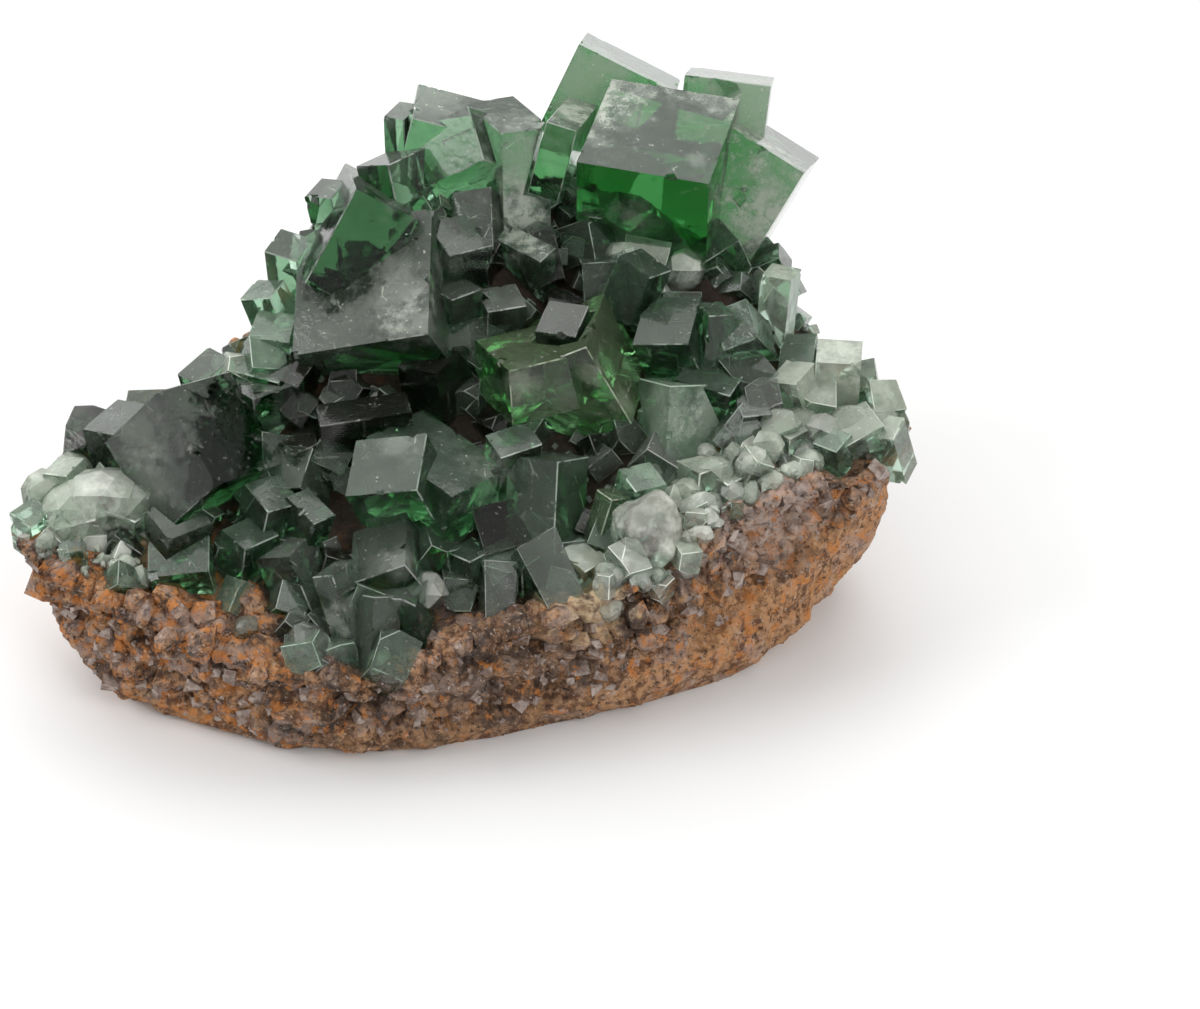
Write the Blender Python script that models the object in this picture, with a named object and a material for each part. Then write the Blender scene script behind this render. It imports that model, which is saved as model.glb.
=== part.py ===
"""Green fluorite crystals grown on a boat-shaped piece of rock.

The specimen stands on the rock's flat underside, long side along X, up along Z.
Crystals that grow through each other are one solid, and the rest keep a thin gap.
"""
import math
from collections import namedtuple

import bmesh
import bpy
import numpy as np
from mathutils import Matrix, Vector, noise

MM = 0.001
GAP = 0.3                  # left between neighbouring pieces, mm
SHARPEST_SHELL = 1.6       # most times the gap that a corner moves to keep its sides at the gap

# Driving sizes of the rock, mm
BED_HEIGHT = 23.0          # the sloping bed that the crystals grow from, above the ground at y = 0
BED_SLOPE = 0.56           # rise of the bed for each millimetre towards the back
BED_BACK = 6.0             # where the bed turns over into the broken back
BED_TURN = 0.12            # how sharply it turns over
BED_DEPTH = 1.4            # how far the rock lies under the bed's slope, mm
BED_SWELLS = (             # height, x, y and spread (mm2) of the broad mounds and the hollow
    (1.0, 4.0, 6.0, 30.0),
    (1.2, -14.0, -1.0, 50.0),
    (-2.4, -2.0, -3.5, 24.0),
    (-1.2, 6.0, -5.0, 16.0),
)
LUMP_HEIGHT = 0.55         # of the rock's own bumps
LUMP_SIZE = 5.0
FINE_LUMPS = (0.6, 0.4)    # share of the height and of the size that the finer bumps have
FOOT_BLEND = 2.0           # height over which the bumps grow from the flat foot, mm
ROOT = 2.4                 # buried length added to the third edge of each crystal block, mm
LEAST_AREA = 12.0          # of an offcut that is kept as a crystal of its own, mm2
SIDE_COLUMNS = 84
SIDE_ROWS = 8
TOP_ROWS = 9

# How the photograph was taken: pixels, millimetres and angles
PHOTO_CENTRE = (600.0, 504.5)
FOCAL_PIXELS = 2500.0
CAMERA_DISTANCE = 195.0    # mm
CAMERA_ELEVATION = math.radians(38.9)
CAMERA_ROLL = math.radians(3.6)

# The rock's outline: the foot (x, y) and the rim (x, y, z) above it, mm, from the left tip round the front
OUTLINE = (
    ((-33.0, -19.0), (-39.4, -17.6, 10.8)),
    ((-32.4, -23.2), (-38.8, -22.2, 10.4)),
    ((-28.6, -26.0), (-32.0, -26.2, 9.0)),
    ((-23.2, -28.0), (-24.6, -28.6, 7.6)),
    ((-15.0, -28.6), (-15.6, -29.2, 6.6)),
    ((-7.0, -26.8), (-8.4, -26.4, 8.0)),
    ((-0.5, -24.0), (-1.4, -23.8, 9.6)),
    ((6.0, -21.2), (4.8, -20.6, 11.0)),
    ((11.0, -18.2), (10.4, -16.6, 13.2)),
    ((14.4, -13.4), (16.2, -13.8, 13.8)),
    ((16.2, -8.8), (20.4, -10.8, 13.2)),
    ((16.6, -4.4), (21.0, -7.2, 13.6)),
    ((15.6, 0.4), (18.2, -3.4, 14.8)),
    ((13.0, 4.6), (14.8, 1.4, 17.0)),
    ((8.0, 10.0), (10.2, 9.6, 18.0)),
    ((1.2, 12.4), (2.4, 14.0, 18.2)),
    ((-7.8, 10.4), (-8.4, 12.2, 18.0)),
    ((-16.0, 5.0), (-19.8, 4.2, 15.8)),
    ((-23.0, -1.0), (-27.0, -2.4, 12.8)),
    ((-28.6, -7.0), (-32.6, -7.8, 11.2)),
    ((-32.0, -13.0), (-37.2, -12.6, 10.8)),
)
SIDE_BULGE = 1.6           # how far the sides swell between foot and rim, mm
SIDE_SHAPE = (0.8, 1.15)   # powers that put the swell low on the side and steepen its foot
RIM_BLEND = 1 / 3          # share of the way to the middle over which the rim turns into the bed
ROCK_CENTRE = (-8.0, -7.0)

# A crystal block: the corner nearest the camera and the ends of its three edges as the photograph
# shows them, in pixels, the real lengths of those edges in mm, and how proud of the bed the corner stands
Block = namedtuple("Block", "corner ends edges proud")

TOP_GROUP = (
    Block((709, 184), ((578, 167), (736, 96), (692, 312)), (9.6, 10.0, 12.0), 8.0),
    Block((579, 44), ((683, 85), (530, 124), (583, 38)), (8.0, 7.0, 6.0), 3.4),
    Block((577, 131), ((547, 120), (562, 200), (584, 122)), (2.3, 5.5, 6.0), 7.0),
    Block((771, 86), ((686, 71), (760, 200), (768, 78)), (6.4, 8.4, 5.0), 2.6),
    Block((804, 173), ((731, 123), (741, 282), (801, 161)), (6.5, 9.4, 8.0), 3.0),
)
TOP_FOOT = (
    Block((650, 278), ((618, 254), (674, 270), (640, 302)), (3.0, 2.6, 2.0), 4.0),
)
RIDGE = (
    Block((412, 118), ((510, 144), (430, 82), (402, 190)), (7.5, 5.0, 5.8), 5.5),
    Block((404, 120), ((386, 116), (412, 102), (403, 166)), (1.6, 3.0, 3.6), 5.0),
    Block((484, 160), ((478, 104), (436, 197), (508, 166)), (4.2, 4.9, 4.2), 5.5),
    Block((502, 134), ((547, 122), (502, 250), (486, 108)), (3.7, 8.6, 4.6), 7.0),
    Block((540, 262), ((486, 256), (560, 254), (540, 284)), (4.4, 1.8, 3.0), 2.5),
)
PEAK = (
    Block((428, 334), ((293, 358), (432, 207), (468, 392)), (10.2, 10.2, 8.6), 6.0),
    Block((356, 189), ((304, 280), (418, 219), (351, 178)), (7.6, 5.0, 5.0), 8.6),
    Block((388, 165), ((351, 167), (404, 205), (416, 162)), (3.0, 3.2, 2.6), 6.5),
    Block((331, 199), ((312, 200), (339, 180), (328, 250)), (2.2, 2.6, 4.6), 5.0),
    Block((452, 300), ((433, 290), (480, 292), (455, 340)), (2.6, 2.8, 3.6), 4.0),
    Block((450, 256), ((432, 214), (490, 244), (452, 296)), (3.8, 3.4, 3.2), 5.0),
)
PEAK_SIDE = (
    Block((297, 262), ((273, 248), (302, 238), (296, 288)), (2.6, 2.6, 3.0), 3.0),
)
PEAK_STEPS = (
    Block((270, 298), ((250, 312), (286, 284), (270, 326)), (2.6, 2.6, 3.0), 2.0),
    Block((289, 343), ((253, 337), (290, 318), (286, 368)), (3.0, 3.0, 3.0), 2.0),
    Block((279, 383), ((234, 387), (294, 370), (270, 402)), (3.6, 2.4, 3.0), 1.5),
)
LEFT = (
    Block((217, 485), ((164, 392), (160, 530), (258, 466)), (7.6, 7.0, 4.6), 6.0),
    Block((197, 410), ((165, 392), (232, 386), (234, 480)), (4.2, 4.2, 5.6), 4.0),
    Block((253, 400), ((228, 386), (302, 388), (262, 452)), (3.6, 4.2, 4.6), 3.0),
    Block((118, 436), ((88, 442), (152, 400), (112, 484)), (3.2, 4.2, 4.2), 2.5),
    Block((200, 386), ((182, 380), (230, 367), (206, 402)), (2.2, 3.2, 3.0), 1.5),
)
FRONT_LEFT = (
    Block((268, 512), ((246, 479), (301, 506), (268, 548)), (3.2, 2.8, 3.2), 3.5),
    Block((314, 524), ((296, 490), (330, 514), (314, 556)), (3.0, 2.0, 3.0), 3.2),
    Block((245, 550), ((222, 528), (278, 538), (246, 580)), (2.6, 3.0, 2.8), 3.0),
)
FRONT_GREY_CUBE = (
    Block((289, 557), ((258, 562), (311, 536), (306, 604)), (3.0, 3.2, 4.0), 3.4),
)
FRONT_GREY = (
    Block((332, 575), ((316, 582), (350, 556), (336, 650)), (1.7, 2.8, 5.4), 4.0),
    Block((374, 597), ((358, 600), (402, 604), (372, 656)), (1.6, 2.4, 4.4), 3.0),
    Block((414, 600), ((376, 608), (430, 572), (408, 642)), (3.0, 2.8, 3.2), 2.5),
    Block((405, 565), ((350, 578), (392, 506), (430, 602)), (4.2, 4.8, 3.4), 3.5),
)
FRONT_CENTRE = (
    Block((452, 497), ((375, 426), (502, 468), (446, 558)), (8.2, 5.8, 5.2), 5.0),
    Block((417, 490), ((351, 511), (433, 432), (424, 520)), (5.2, 4.8, 3.4), 6.0),
    Block((558, 462), ((506, 466), (592, 470), (550, 544)), (4.0, 4.2, 6.2), 4.6),
    Block((501, 458), ((487, 440), (541, 446), (500, 478)), (2.4, 3.2, 2.6), 4.0),
)
OLIVE_PRISM = (
    Block((612, 500), ((595, 488), (632, 500), (600, 556)), (1.6, 1.8, 4.2), 3.0),
)
CENTRE_CUBE = (
    Block((586, 347), ((509, 371), (636, 418), (598, 317)), (6.2, 6.8, 5.0), 6.0),
    Block((509, 371), ((586, 347), (508, 424), (491, 356)), (6.0, 4.2, 3.6), 6.0),
)
STREAKED_CUBE = (
    Block((575, 337), ((535, 340), (594, 310), (574, 362)), (3.0, 3.2, 3.0), 4.4),
)
SMALL_GREY_CUBE = (
    Block((488, 312), ((484, 288), (524, 300), (486, 344)), (2.6, 2.9, 2.8), 3.0),
)
DARK_CUBE = (
    Block((436, 374), ((399, 368), (467, 349), (441, 421)), (3.2, 4.2, 4.0), 4.0),
)
DARK_BAR = (
    Block((412, 412), ((322, 421), (396, 397), (408, 444)), (6.4, 2.6, 3.0), 3.0),
)
DARK_SLAB = (
    Block((293, 455), ((372, 426), (268, 448), (302, 504)), (6.2, 3.0, 4.2), 2.6),
)
RIGHT_CENTRE = (
    Block((688, 344), ((633, 344), (699, 297), (699, 372)), (4.2, 4.4, 3.2), 3.5),
    Block((709, 316), ((733, 317), (701, 297), (716, 376)), (2.0, 2.4, 4.4), 4.0),
    Block((757, 338), ((728, 352), (741, 297), (760, 362)), (2.6, 3.2, 3.0), 3.0),
    Block((730, 396), ((674, 384), (742, 386), (728, 420)), (4.2, 2.6, 3.0), 2.0),
)
RIGHT_PAIR = (
    Block((670, 386), ((636, 392), (742, 400), (668, 448)), (4.0, 6.0, 4.8), 3.6),
)
PALE_CUBE = (
    Block((636, 492), ((623, 468), (663, 486), (634, 518)), (2.4, 2.6, 2.6), 2.8),
)
RIGHT_RIM = (
    Block((861, 365), ((820, 353), (847, 334), (857, 412)), (3.2, 3.0, 3.6), 1.6),
    Block((796, 385), ((768, 386), (816, 362), (800, 420)), (2.4, 2.8, 3.0), 1.6),
)
RIGHT_STEP = (
    Block((791, 281), ((763, 272), (797, 276), (792, 316)), (2.2, 2.6, 3.0), 2.0),
)

GROUPS = {
    "top_crystals": TOP_GROUP,
    "top_foot_crystal": TOP_FOOT,
    "ridge_crystals": RIDGE,
    "peak_crystals": PEAK,
    "peak_side_crystal": PEAK_SIDE,
    "peak_step_crystals": PEAK_STEPS,
    "left_crystals": LEFT,
    "front_left_crystals": FRONT_LEFT,
    "front_grey_cube": FRONT_GREY_CUBE,
    "front_grey_crystals": FRONT_GREY,
    "front_centre_crystals": FRONT_CENTRE,
    "olive_prism": OLIVE_PRISM,
    "streaked_cube": STREAKED_CUBE,
    "centre_cube": CENTRE_CUBE,
    "small_grey_cube": SMALL_GREY_CUBE,
    "dark_cube": DARK_CUBE,
    "dark_bar": DARK_BAR,
    "dark_slab": DARK_SLAB,
    "right_centre_crystals": RIGHT_CENTRE,
    "right_pair": RIGHT_PAIR,
    "pale_cube": PALE_CUBE,
    "right_rim_crystals": RIGHT_RIM,
    "right_step": RIGHT_STEP,
}

# Small crystals along the rock's rim, each a piece of its own
RIM_BLOCKS = {
    "left_tip_crystal": Block((30, 528), ((18, 508), (46, 508), (32, 540)), (2.2, 2.2, 1.2), 1.0),
    "left_rim_milky_crystal": Block((95, 520), ((56, 532), (88, 480), (100, 552)), (3.4, 3.4, 2.8), 1.6),
    "left_rim_pale_crystal": Block((135, 522), ((112, 506), (152, 502), (130, 566)), (2.6, 2.6, 3.6), 1.2),
    "left_rim_grey_crystal": Block((169, 540), ((152, 508), (208, 516), (165, 568)), (3.2, 3.4, 2.8), 2.8),
    "left_rim_dark_crystal": Block((209, 571), ((153, 583), (204, 525), (206, 596)), (4.2, 3.8, 2.6), 2.0),
    "left_rim_back_crystal": Block((66, 476), ((46, 480), (84, 458), (66, 500)), (2.0, 2.4, 2.2), 0.6),
    "front_rim_crystal": Block((470, 562), ((440, 558), (500, 550), (468, 590)), (2.6, 2.6, 2.4), 1.6),
    "front_rim_green_crystal": Block((522, 570), ((492, 562), (548, 554), (520, 594)), (2.6, 2.6, 2.2), 1.4),
    "front_rim_pale_crystal": Block((585, 572), ((554, 552), (614, 562), (582, 594)), (2.6, 2.4, 2.0), 1.5),
    "right_rim_tall_crystal": Block((700, 474), ((680, 460), (722, 464), (698, 504)), (2.4, 2.6, 2.4), 1.6),
    "right_rim_low_crystal": Block((728, 485), ((706, 470), (748, 478), (728, 510)), (2.2, 2.0, 2.2), 1.0),
    "right_rim_grey_crystal": Block((743, 417), ((731, 395), (770, 420), (743, 438)), (2.4, 2.2, 2.6), 1.5),
    "right_rim_round_crystal": Block((790, 440), ((768, 432), (812, 434), (790, 458)), (2.2, 2.2, 2.0), 1.0),
    "right_rim_mint_crystal": Block((836, 452), ((814, 444), (850, 436), (838, 468)), (2.0, 2.0, 2.0), 1.0),
    "right_tip_crystal": Block((893, 440), ((868, 436), (900, 416), (894, 462)), (2.2, 2.2, 2.2), 0.8),
}
ROCK_COLOUR = (0.20, 0.12, 0.08)
GREEN = (0.10, 0.28, 0.15)
SHADES = {                 # colours of the pieces that aren't clear green
    (0.05, 0.09, 0.07): ("dark_cube", "dark_bar", "dark_slab", "small_grey_cube"),
    (0.45, 0.62, 0.50): (
        "white_lump", "right_step", "left_rim_milky_crystal", "left_rim_pale_crystal",
        "left_rim_back_crystal", "front_rim_pale_crystal", "right_rim_low_crystal",
        "right_rim_round_crystal", "right_tip_crystal",
    ),
}
WHITE_LUMP = Block((648, 528), (), (5.2, 5.4, 5.0), 1.0)   # its three widths and its middle's height
LUMP_DENTS = (0.18, 3.1)   # depth and number of its dents


def remove_all_objects():
    for obj in list(bpy.data.objects):
        bpy.data.objects.remove(obj, do_unlink=True)


def make_material(name, colour, roughness, transmission=0.0):
    material = bpy.data.materials.new(name)
    material.use_nodes = True
    shader = material.node_tree.nodes["Principled BSDF"]
    shader.inputs["Base Color"].default_value = (*colour, 1.0)
    shader.inputs["Roughness"].default_value = roughness
    shader.inputs["Metallic"].default_value = 0.0
    shader.inputs["IOR"].default_value = 1.434
    shader.inputs["Transmission Weight"].default_value = transmission
    material.diffuse_color = (*colour, 1.0)
    return material


def camera_axes():
    """Return the camera's right, up and forward directions, with its roll, and its place in mm."""
    sin_e, cos_e = math.sin(CAMERA_ELEVATION), math.cos(CAMERA_ELEVATION)
    forward = np.array([0.0, cos_e, -sin_e])
    level_right = np.array([1.0, 0.0, 0.0])
    level_up = np.array([0.0, sin_e, cos_e])
    right = level_right * math.cos(CAMERA_ROLL) + level_up * math.sin(CAMERA_ROLL)
    up = level_up * math.cos(CAMERA_ROLL) - level_right * math.sin(CAMERA_ROLL)
    return right, up, forward, -forward * CAMERA_DISTANCE


RIGHT, UP, FORWARD, EYE = camera_axes()


def sight_line(pixel):
    """Return the unit direction from the camera through a pixel of the photograph."""
    across = (pixel[0] - PHOTO_CENTRE[0]) / FOCAL_PIXELS
    down = (pixel[1] - PHOTO_CENTRE[1]) / FOCAL_PIXELS
    direction = FORWARD + RIGHT * across - UP * down
    return direction / np.linalg.norm(direction)


def point_above_bed(pixel, proud):
    """Return where a pixel's sight line meets the bed raised by proud mm."""
    direction = sight_line(pixel)
    height = BED_HEIGHT + proud + BED_SLOPE * EYE[1] - EYE[2]
    return EYE + direction * (height / (direction[2] - BED_SLOPE * direction[1]))


def edge_direction(corner, pixel, length):
    """Return the direction of an edge that leaves the corner away from the camera and ends at the pixel."""
    direction = sight_line(pixel)
    to_corner = corner - EYE
    along = to_corner @ direction
    miss = to_corner @ to_corner - along * along
    along += math.sqrt(max(length * length - miss, 0.0))
    edge = EYE + direction * along - corner
    return edge / np.linalg.norm(edge)


def block_frame(block):
    """Return a block's corner and its three edge directions, squared up to right angles."""
    corner = point_above_bed(block.corner, block.proud)
    rough = np.array([edge_direction(corner, end, length) for end, length in zip(block.ends, block.edges)])
    left, _, turned = np.linalg.svd(rough)
    return corner, left @ turned


def block_object(name, block, grow=0.0):
    """Return a cuboid object for a block, grown outwards by grow mm."""
    corner, axes = block_frame(block)
    edges = np.array(block.edges) + (0.0, 0.0, ROOT)
    centre = corner + axes.T @ (edges / 2)
    mesh = bmesh.new()
    bmesh.ops.create_cube(mesh, size=1.0)
    sizes = Matrix.Diagonal((*(edges + 2 * grow), 1.0))
    turn = Matrix([list(row) for row in axes.T]).to_4x4()
    bmesh.ops.transform(mesh, matrix=Matrix.Translation(centre) @ turn @ sizes, verts=mesh.verts)
    bmesh.ops.recalc_face_normals(mesh, faces=mesh.faces)
    return new_object(name, mesh)


def new_object(name, mesh):
    data = bpy.data.meshes.new(name)
    mesh.to_mesh(data)
    mesh.free()
    obj = bpy.data.objects.new(name, data)
    bpy.context.scene.collection.objects.link(obj)
    return obj


def combine(target, tool, operation):
    """Apply a Boolean of the target with the tool, and remove the tool."""
    modifier = target.modifiers.new("combine", "BOOLEAN")
    modifier.operation = operation
    modifier.solver = "EXACT"
    modifier.object = tool
    graph = bpy.context.evaluated_depsgraph_get()
    result = bpy.data.meshes.new_from_object(target.evaluated_get(graph))
    target.modifiers.remove(modifier)
    target.data = result
    bpy.data.objects.remove(tool, do_unlink=True)


def united(name, blocks, grow=0.0):
    whole = block_object(name, blocks[0], grow)
    for block in blocks[1:]:
        combine(whole, block_object("join", block, grow), "UNION")
    return whole


def smooth_loop(points, columns):
    """Return columns points on a closed smooth curve through the given points."""
    count = len(points)
    result = []
    for column in range(columns):
        place = column * count / columns
        index = int(place)
        t = place - index
        p0, p1, p2, p3 = (np.array(points[(index + step) % count], float) for step in (-1, 0, 1, 2))
        result.append(0.5 * (2 * p1 + (p2 - p0) * t + (2 * p0 - 5 * p1 + 4 * p2 - p3) * t * t
                             + (3 * p1 - p0 - 3 * p2 + p3) * t ** 3))
    return result


def bed_height(x, y):
    """Return the height of the rock's top: a slope that turns over at the back, with broad mounds."""
    behind = max(y - BED_BACK, 0.0)
    swells = sum(height * math.exp(-((x - at_x) ** 2 + (y - at_y) ** 2) / spread)
                 for height, at_x, at_y, spread in BED_SWELLS)
    return BED_HEIGHT - BED_DEPTH + BED_SLOPE * (y - behind) - BED_TURN * behind ** 2 + swells


def rock_mesh():
    """Loft the rock from its flat foot up its swelling sides to the rim, and over the bed to the middle."""
    feet = smooth_loop([foot for foot, _ in OUTLINE], SIDE_COLUMNS)
    rims = smooth_loop([rim for _, rim in OUTLINE], SIDE_COLUMNS)
    mesh = bmesh.new()
    rings = []
    for row in range(SIDE_ROWS + 1):
        t = row / SIDE_ROWS
        ring = []
        for foot, rim in zip(feet, rims):
            outward = np.array([foot[0] - ROCK_CENTRE[0], foot[1] - ROCK_CENTRE[1]])
            outward /= np.linalg.norm(outward)
            swell = SIDE_BULGE * math.sin(math.pi * t ** SIDE_SHAPE[0])
            x = foot[0] + (rim[0] - foot[0]) * t + outward[0] * swell
            y = foot[1] + (rim[1] - foot[1]) * t + outward[1] * swell
            ring.append(mesh.verts.new((x, y, rim[2] * t ** SIDE_SHAPE[1])))
        rings.append(ring)
    for row in range(1, TOP_ROWS):
        t = row / TOP_ROWS
        ring = []
        for rim in rims:
            x = rim[0] + (ROCK_CENTRE[0] - rim[0]) * t
            y = rim[1] + (ROCK_CENTRE[1] - rim[1]) * t
            blend = min(t / RIM_BLEND, 1.0)
            ring.append(mesh.verts.new((x, y, rim[2] * (1 - blend) + bed_height(x, y) * blend)))
        rings.append(ring)
    for lower, upper in zip(rings, rings[1:]):
        for column in range(SIDE_COLUMNS):
            after = (column + 1) % SIDE_COLUMNS
            mesh.faces.new((lower[column], lower[after], upper[after], upper[column]))
    middle = mesh.verts.new((*ROCK_CENTRE, bed_height(*ROCK_CENTRE)))
    for column in range(SIDE_COLUMNS):
        mesh.faces.new((rings[-1][column], rings[-1][(column + 1) % SIDE_COLUMNS], middle))
    mesh.faces.new(list(reversed(rings[0])))
    bmesh.ops.recalc_face_normals(mesh, faces=mesh.faces)
    return mesh


def roughen_rock(mesh):
    """Push the rock's surface in and out by lumps, leaving the underside flat."""
    mesh.normal_update()
    foot = {vert for vert in mesh.verts if vert.co.z == 0.0}
    moves = []
    for vert in mesh.verts:
        if vert in foot:
            continue
        broad = noise.noise(vert.co / LUMP_SIZE)
        fine = noise.noise(vert.co / (LUMP_SIZE * FINE_LUMPS[1]) + Vector((7, 3, 5)))
        height = LUMP_HEIGHT * (broad + FINE_LUMPS[0] * fine) * min(vert.co.z / FOOT_BLEND, 1.0)
        moves.append((vert, vert.normal * height))
    for vert, move in moves:
        vert.co += move


def make_rock():
    mesh = rock_mesh()
    roughen_rock(mesh)
    bmesh.ops.triangulate(mesh, faces=mesh.faces)
    return new_object("matrix", mesh)


def grown_copy(obj, distance):
    """Return a copy of an object with its surface pushed outwards by distance mm."""
    mesh = bmesh.new()
    mesh.from_mesh(obj.data)
    mesh.normal_update()
    moves = [(vert, vert.normal * distance * min(vert.calc_shell_factor(), SHARPEST_SHELL))
             for vert in mesh.verts]
    for vert, move in moves:
        vert.co += move
    return new_object("grown", mesh)


def white_lump(block):
    """Return the large frosted lump on the rim, a coarse ball pressed out of round."""
    centre = point_above_bed(block.corner, block.proud)
    mesh = bmesh.new()
    bmesh.ops.create_icosphere(mesh, subdivisions=2, radius=0.5)
    for vert in mesh.verts:
        vert.co *= 1.0 + LUMP_DENTS[0] * noise.noise(vert.co * LUMP_DENTS[1])
    place = Matrix.Translation(centre) @ Matrix.Diagonal((*block.edges, 1.0))
    bmesh.ops.transform(mesh, matrix=place, verts=mesh.verts)
    return new_object("white_lump", mesh)


def separate_parts(obj, least_area):
    """Split loose parts into objects of their own, largest first, and drop those under least_area mm2."""
    mesh = bmesh.new()
    mesh.from_mesh(obj.data)
    unseen = set(mesh.faces)
    parts = []
    while unseen:
        part = {unseen.pop()}
        frontier = list(part)
        while frontier:
            face = frontier.pop()
            neighbours = {other for edge in face.edges for other in edge.link_faces} & unseen
            unseen -= neighbours
            part |= neighbours
            frontier.extend(neighbours)
        parts.append(sorted(face.index for face in part))
    areas = [sum(mesh.faces[:][index].calc_area() for index in part) for part in parts]
    mesh.free()
    ranked = sorted(zip(areas, parts), reverse=True)
    for number, (area, part) in enumerate(ranked):
        if area >= least_area:
            piece = bmesh.new()
            piece.from_mesh(obj.data)
            kept = set(part)
            others = [face for face in piece.faces if face.index not in kept]
            bmesh.ops.delete(piece, geom=others, context="FACES")
            new_object(f"{obj.name}_{number + 1}" if number else "first_part", piece)
    first = bpy.data.objects["first_part"]
    obj.data = first.data
    bpy.data.objects.remove(first, do_unlink=True)


def tidy_mesh(obj, merge=0.002):
    """Join corners that nearly meet and drop slivers."""
    mesh = bmesh.new()
    mesh.from_mesh(obj.data)
    bmesh.ops.remove_doubles(mesh, verts=mesh.verts, dist=merge)
    bmesh.ops.dissolve_degenerate(mesh, edges=mesh.edges, dist=merge)
    bmesh.ops.triangulate(mesh, faces=mesh.faces)
    mesh.to_mesh(obj.data)
    mesh.free()


def make_crystals(rock):
    """Build each group and rim crystal, cut where it meets the rock or an earlier group."""
    made = []
    groups = {**GROUPS, **{name: (block,) for name, block in RIM_BLOCKS.items()}}
    for name, blocks in groups.items():
        crystals = united(name, blocks)
        combine(crystals, grown_copy(rock, GAP), "DIFFERENCE")
        for other_blocks in made:
            combine(crystals, united("neighbour", other_blocks, GAP), "DIFFERENCE")
        tidy_mesh(crystals)
        separate_parts(crystals, LEAST_AREA)
        made.append(blocks)
    return made


def make_lump(rock, crystal_blocks):
    lump = white_lump(WHITE_LUMP)
    combine(lump, grown_copy(rock, GAP), "DIFFERENCE")
    for blocks in crystal_blocks:
        combine(lump, united("neighbour", blocks, GAP), "DIFFERENCE")
    tidy_mesh(lump)
    separate_parts(lump, LEAST_AREA)


def place_on_ground():
    """Scale millimetres to metres, with the middle of the whole box over the origin and the foot at height 0."""
    objects = [obj for obj in bpy.data.objects if obj.type == "MESH"]
    corners = np.array([vert.co for obj in objects for vert in obj.data.vertices])
    low, high = corners.min(axis=0), corners.max(axis=0)
    shift = Vector((-(low[0] + high[0]) / 2, -(low[1] + high[1]) / 2, -low[2]))
    for obj in objects:
        obj.data.transform(Matrix.Scale(MM, 4) @ Matrix.Translation(shift))


def main():
    remove_all_objects()
    rock = make_rock()
    make_lump(rock, make_crystals(rock))
    place_on_ground()
    rock.data.materials.append(make_material("brown_rock", ROCK_COLOUR, 0.9))
    for obj in bpy.data.objects:
        if obj is not rock:
            colour = next((shade for shade, names in SHADES.items() if obj.name in names), GREEN)
            obj.data.materials.append(make_material(obj.name + "_fluorite", colour, 0.15, 1.0))


main()
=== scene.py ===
"""Green fluorite crystals grown on a boat-shaped piece of rock: the finished look.

The rock is a finely modelled copy of the plain one, with ledges, grains and pits. The crystals
are clear bodies with worn edges that carry a painted highlight, cloudy patches and healed cracks,
and smaller ones fill the bed.
"""
import math
from collections import namedtuple

import bmesh
import bpy
import numpy as np
from mathutils import Matrix, Quaternion, Vector, noise
from mathutils.bvhtree import BVHTree
from mathutils.kdtree import KDTree


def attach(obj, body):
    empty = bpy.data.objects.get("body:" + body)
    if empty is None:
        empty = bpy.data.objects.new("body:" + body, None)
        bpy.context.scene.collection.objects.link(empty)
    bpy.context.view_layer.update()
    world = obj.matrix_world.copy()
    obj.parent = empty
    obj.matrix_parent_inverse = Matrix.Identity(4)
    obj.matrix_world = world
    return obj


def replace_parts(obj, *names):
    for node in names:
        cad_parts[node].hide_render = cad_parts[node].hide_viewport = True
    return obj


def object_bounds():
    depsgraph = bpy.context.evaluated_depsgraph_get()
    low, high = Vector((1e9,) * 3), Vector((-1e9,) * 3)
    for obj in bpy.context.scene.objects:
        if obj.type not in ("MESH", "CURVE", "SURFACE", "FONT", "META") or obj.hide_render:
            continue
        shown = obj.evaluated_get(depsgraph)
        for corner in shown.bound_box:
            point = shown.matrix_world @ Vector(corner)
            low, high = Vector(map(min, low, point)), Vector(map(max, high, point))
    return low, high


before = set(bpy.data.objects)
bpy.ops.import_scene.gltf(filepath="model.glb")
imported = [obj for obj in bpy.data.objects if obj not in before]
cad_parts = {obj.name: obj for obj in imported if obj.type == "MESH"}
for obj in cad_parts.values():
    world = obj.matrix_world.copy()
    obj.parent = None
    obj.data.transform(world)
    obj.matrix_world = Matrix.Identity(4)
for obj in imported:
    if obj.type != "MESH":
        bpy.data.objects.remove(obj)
start_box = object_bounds()

MM = 0.001
RANDOM = np.random.default_rng(17)
WORN_AND_HIGHLIT = "worn"              # name of the attribute that is 1 on worn edges, which the crystals' material paints paler as wear and a painted highlight

# How the photograph was taken, mm, in the plain model's frame
PHOTO_CENTRE = (600.0, 504.5)
PHOTO_WIDTH = 1200.0
FOCAL_PIXELS = 2500.0
CAMERA_DISTANCE = 195.0
CAMERA_ELEVATION = math.radians(38.9)
CAMERA_ROLL = math.radians(3.6)
LOOKED_AT = Vector((9.023, 5.320, 0.0))    # the point of the ground in the picture's centre
SENSOR = 36.0

# The bed that the crystals grow from: its height at y = 0 and its rise towards the back
BED_HEIGHT = 20.02
BED_SLOPE = 0.56

# The middle of the bed as circles, where painted shade darkens the bed under the crystals: x, y and
# radius, mm
BED_CIRCLES = ((-12.0, -7.7, 8.5), (1.0, -8.7, 8.0), (7.0, -0.7, 10.5), (17.0, 2.3, 8.0))

# The lower border of the crystals in the photograph, in pixels
CRYSTAL_BORDER = (
    (0, 545), (27, 556), (130, 590), (210, 592), (250, 622), (300, 655), (340, 676), (390, 668),
    (420, 612), (480, 598), (560, 588), (640, 588), (700, 560), (740, 508), (800, 472), (910, 455),
)


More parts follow.
